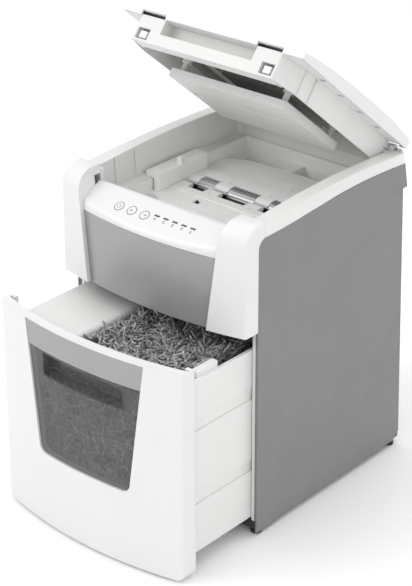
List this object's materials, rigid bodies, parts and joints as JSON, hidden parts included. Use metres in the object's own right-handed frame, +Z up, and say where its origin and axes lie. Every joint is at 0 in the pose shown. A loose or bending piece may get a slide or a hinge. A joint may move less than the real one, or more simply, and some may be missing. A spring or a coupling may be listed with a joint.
{
  "type": "paper shredder",
  "caption": "Desk-side paper shredder with an opened feed lid over a paper tray, a control strip, a drawer with a smoked window and a shred bin, and a geared cutting unit inside.",
  "frame": {"origin": "centre of the footprint at floor level, in the stored pose with the lid open and the drawer partly out", "axes": "+Z up, front with the drawer towards -Y, +X to the right seen from the front"},
  "size_m": [0.345, 0.5317, 0.7018],
  "materials": {
    "white_plastic": "semi-gloss moulded white",
    "light_plastic": "warm light grey moulding, fine grain",
    "grey_panel": "satin mid grey",
    "silver_plastic": "satin silver grey",
    "smoked_window": "smoked clear plastic",
    "clear_pocket": "clear plastic",
    "dark_plastic": "black moulding",
    "roller_steel": "satin roller sleeves",
    "steel": "ground steel",
    "plated_steel": "zinc plated sheet",
    "gear_plastic": "natural acetal",
    "motor_can": "dull plated can",
    "circuit_board": "solder masked board",
    "indicator": "dark translucent light bars",
    "paper": "shredded printed paper",
    "spring_steel": "spring wire"
  },
  "bodies": {
    "casing": {"base_pan": "dark_plastic", "control_board": "circuit_board", "control_panel": "white_plastic", "cover_screws": "steel", "crossbeams": "plated_steel", "cutter_plates": "plated_steel", "feed_plate": "light_plastic", "feet": "dark_plastic", "front_panel": "silver_plastic", "gearbox_cover": "dark_plastic", "guide_block": "light_plastic", "hinge_pins": "steel", "indicator_lights": "indicator", "inlet_socket": "dark_plastic", "left_side_frame": "light_plastic", "left_side_panel": "grey_panel", "left_wing": "white_plastic", "motor": "motor_can", "power_board": "circuit_board", "rear_cover": "grey_panel", "right_side_frame": "light_plastic", "right_side_panel": "grey_panel", "right_wing": "white_plastic", "stripper_combs": "dark_plastic", "tie_rods": "steel", "top_housing": "light_plastic"},
    "lid": {"lid_cover": "white_plastic", "lid_frame": "light_plastic", "lid_liner": "dark_plastic", "plate_springs": "spring_steel"},
    "pressure_plate": {"pressure_plate": "light_plastic"},
    "left_latch": {"left_latch": "light_plastic"},
    "right_latch": {"right_latch": "light_plastic"},
    "drawer": {"drawer_front": "white_plastic", "drawer_band": "silver_plastic", "drawer_window": "smoked_window", "finger_pocket": "clear_pocket", "bin_tub": "light_plastic", "bin_shelf": "light_plastic", "bin_peg": "dark_plastic", "shredded_paper": "paper"},
    "power_button": {"power_button": "white_plastic"},
    "reverse_button": {"reverse_button": "white_plastic"},
    "forward_button": {"forward_button": "white_plastic"},
    "front_cutter": {"front_cutter": "steel", "front_cutter_gear": "steel"},
    "rear_cutter": {"rear_cutter": "steel", "rear_cutter_gear": "steel"},
    "front_idler": {"front_idler_gear": "gear_plastic"},
    "rear_idler": {"rear_idler_gear": "gear_plastic"},
    "front_feed": {"front_feed_shaft": "steel", "front_feed_rollers": "roller_steel", "front_feed_gear": "gear_plastic"},
    "rear_feed": {"rear_feed_shaft": "steel", "rear_feed_rollers": "roller_steel", "rear_feed_gear": "gear_plastic"},
    "reduction_gear": {"reduction_gear": "gear_plastic"},
    "motor_pinion": {"motor_pinion": "steel"},
    "paper_flag": {"paper_flag": "dark_plastic"},
    "rocker_switch": {"rocker_switch": "dark_plastic"}
  },
  "joints": [
    {"name": "lid_hinge", "type": "hinge", "parent": "casing", "child": "lid", "pos_m": [0, 0.25345, 0.489], "axis": [1, 0, 0], "range_deg": [0, 39.5]},
    {"name": "drawer_slide", "type": "slide", "parent": "casing", "child": "drawer", "axis": [0, 1, 0], "range_m": [-0.15, 0.125]},
    {"name": "pressure_plate_slide", "type": "slide", "parent": "lid", "child": "pressure_plate", "axis": [0, 0.6361, 0.7716], "range_m": [0, 0.012], "stiffness_N_per_m": 350, "springref_m": -0.008},
    {"name": "left_latch_slide", "type": "slide", "parent": "lid", "child": "left_latch", "axis": [0, 0.7716, -0.6361], "range_m": [0, 0.004], "stiffness_N_per_m": 300, "springref_m": -0.001},
    {"name": "right_latch_slide", "type": "slide", "parent": "lid", "child": "right_latch", "axis": [0, 0.7716, -0.6361], "range_m": [0, 0.004], "stiffness_N_per_m": 300, "springref_m": -0.001},
    {"name": "power_button_press", "type": "slide", "parent": "casing", "child": "power_button", "axis": [0, 0.4756, -0.8796], "range_m": [0, 0.001], "stiffness_N_per_m": 500, "springref_m": -0.0004},
    {"name": "reverse_button_press", "type": "slide", "parent": "casing", "child": "reverse_button", "axis": [0, 0.4756, -0.8796], "range_m": [0, 0.001], "stiffness_N_per_m": 500, "springref_m": -0.0004},
    {"name": "forward_button_press", "type": "slide", "parent": "casing", "child": "forward_button", "axis": [0, 0.4756, -0.8796], "range_m": [0, 0.001], "stiffness_N_per_m": 500, "springref_m": -0.0004},
    {"name": "front_cutter_spin", "type": "hinge", "parent": "casing", "child": "front_cutter", "pos_m": [0, 0.06696, 0.365], "axis": [1, 0, 0], "continuous": true},
    {"name": "rear_cutter_spin", "type": "hinge", "parent": "casing", "child": "rear_cutter", "pos_m": [0, 0.10296, 0.365], "axis": [1, 0, 0], "continuous": true},
    {"name": "front_idler_spin", "type": "hinge", "parent": "casing", "child": "front_idler", "pos_m": [0, 0.06696, 0.392], "axis": [1, 0, 0], "continuous": true},
    {"name": "rear_idler_spin", "type": "hinge", "parent": "casing", "child": "rear_idler", "pos_m": [0, 0.10296, 0.392], "axis": [1, 0, 0], "continuous": true},
    {"name": "front_feed_spin", "type": "hinge", "parent": "casing", "child": "front_feed", "pos_m": [0, 0.06696, 0.4115], "axis": [1, 0, 0], "continuous": true},
    {"name": "rear_feed_spin", "type": "hinge", "parent": "casing", "child": "rear_feed", "pos_m": [0, 0.10296, 0.4115], "axis": [1, 0, 0], "continuous": true},
    {"name": "reduction_spin", "type": "hinge", "parent": "casing", "child": "reduction_gear", "pos_m": [0, 0.13145, 0.365], "axis": [1, 0, 0], "continuous": true},
    {"name": "pinion_spin", "type": "hinge", "parent": "casing", "child": "motor_pinion", "pos_m": [0, 0.17195, 0.365], "axis": [1, 0, 0], "continuous": true},
    {"name": "paper_flag_tilt", "type": "hinge", "parent": "casing", "child": "paper_flag", "pos_m": [0, 0.04945, 0.413], "axis": [1, 0, 0], "range_deg": [0, 10], "stiffness_Nm_per_rad": 0.02, "springref_deg": -17.19},
    {"name": "rocker_tilt", "type": "hinge", "parent": "casing", "child": "rocker_switch", "pos_m": [0, 0.25745, 0.05], "axis": [1, 0, 0], "range_deg": [0, 11]}
  ],
  "couplings": [
    {"joint": "rear_cutter_spin", "follows": "front_cutter_spin", "ratio": -1},
    {"joint": "front_idler_spin", "follows": "front_cutter_spin", "ratio": -2},
    {"joint": "rear_idler_spin", "follows": "front_cutter_spin", "ratio": 2},
    {"joint": "front_feed_spin", "follows": "front_cutter_spin", "ratio": 1.7143},
    {"joint": "rear_feed_spin", "follows": "front_cutter_spin", "ratio": -1.7143},
    {"joint": "reduction_spin", "follows": "front_cutter_spin", "ratio": 1.7143},
    {"joint": "pinion_spin", "follows": "front_cutter_spin", "ratio": -7.5429}
  ]
}
